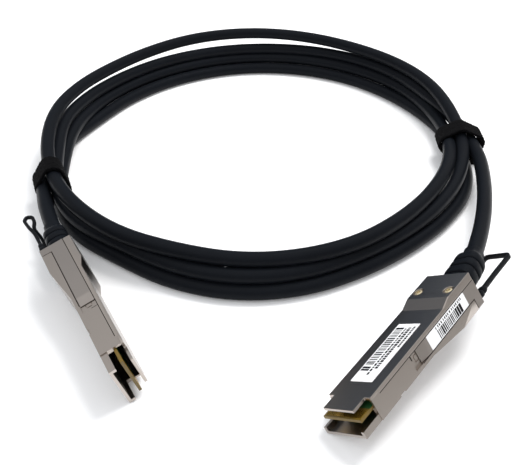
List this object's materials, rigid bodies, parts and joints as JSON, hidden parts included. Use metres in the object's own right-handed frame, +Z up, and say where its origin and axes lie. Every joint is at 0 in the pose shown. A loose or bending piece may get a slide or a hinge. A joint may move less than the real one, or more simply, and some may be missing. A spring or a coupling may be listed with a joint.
{
  "type": "direct attach copper cable",
  "caption": "Coiled black twinaxial cable with a metal-shelled pluggable end, a sliding latch and a pull loop at each end.",
  "frame": {"origin": "bottom centre of the box round the two plugs, on the table", "axes": "+Z up, +X to the right across the two plugs, +Y from the plugs towards the coil"},
  "size_m": [0.2281, 0.3078, 0.0277],
  "materials": {
    "shell_metal": "satin nickel plate on a zinc casting",
    "slider_metal": "satin nickel plate on sheet steel",
    "screw_metal": "bright",
    "spring_steel": "drawn wire",
    "lanyard": "soft moulded",
    "card": "solder mask over glass laminate",
    "contact_gold": "hard gold plate",
    "chip": "moulded",
    "pair_jacket": "foil wrapped",
    "ferrule_metal": "plain",
    "boot": "satin moulded",
    "label": "paper label",
    "cable_jacket": "satin extruded",
    "tie_strap": "hook-and-loop fabric"
  },
  "bodies": {
    "root": {"right_bottom_shell": "shell_metal", "right_top_cover": "shell_metal", "right_cover_screws": "screw_metal", "right_return_springs": "spring_steel", "right_paddle_card": "card", "right_contact_pads": "contact_gold", "right_card_chips": "chip", "right_twinax_pairs": "pair_jacket", "right_crimp_ferrule": "ferrule_metal", "right_strain_relief_boot": "boot", "right_top_label": "label", "right_side_label": "label", "left_bottom_shell": "shell_metal", "left_top_cover": "shell_metal", "left_cover_screws": "screw_metal", "left_return_springs": "spring_steel", "left_paddle_card": "card", "left_contact_pads": "contact_gold", "left_card_chips": "chip", "left_twinax_pairs": "pair_jacket", "left_crimp_ferrule": "ferrule_metal", "left_strain_relief_boot": "boot", "cable_tail_right": "cable_jacket", "cable_tail_left": "cable_jacket", "cable_coil": "cable_jacket", "cable_tie_right": "tie_strap", "cable_tie_left": "tie_strap"},
    "right_slider": {"right_latch_slider": "slider_metal", "right_pull_lanyard": "lanyard"},
    "left_slider": {"left_latch_slider": "slider_metal", "left_pull_lanyard": "lanyard"}
  },
  "joints": [
    {"name": "right_latch_slide", "type": "slide", "parent": "root", "child": "right_slider", "axis": [0.633, 0.7625, 0.134], "range_m": [0, 0.0025], "stiffness_N_per_m": 400, "deforming": ["right_return_springs"]},
    {"name": "left_latch_slide", "type": "slide", "parent": "root", "child": "left_slider", "axis": [-0.4799, 0.8766, 0.0366], "range_m": [0, 0.0025], "stiffness_N_per_m": 400, "deforming": ["left_return_springs"]}
  ]
}
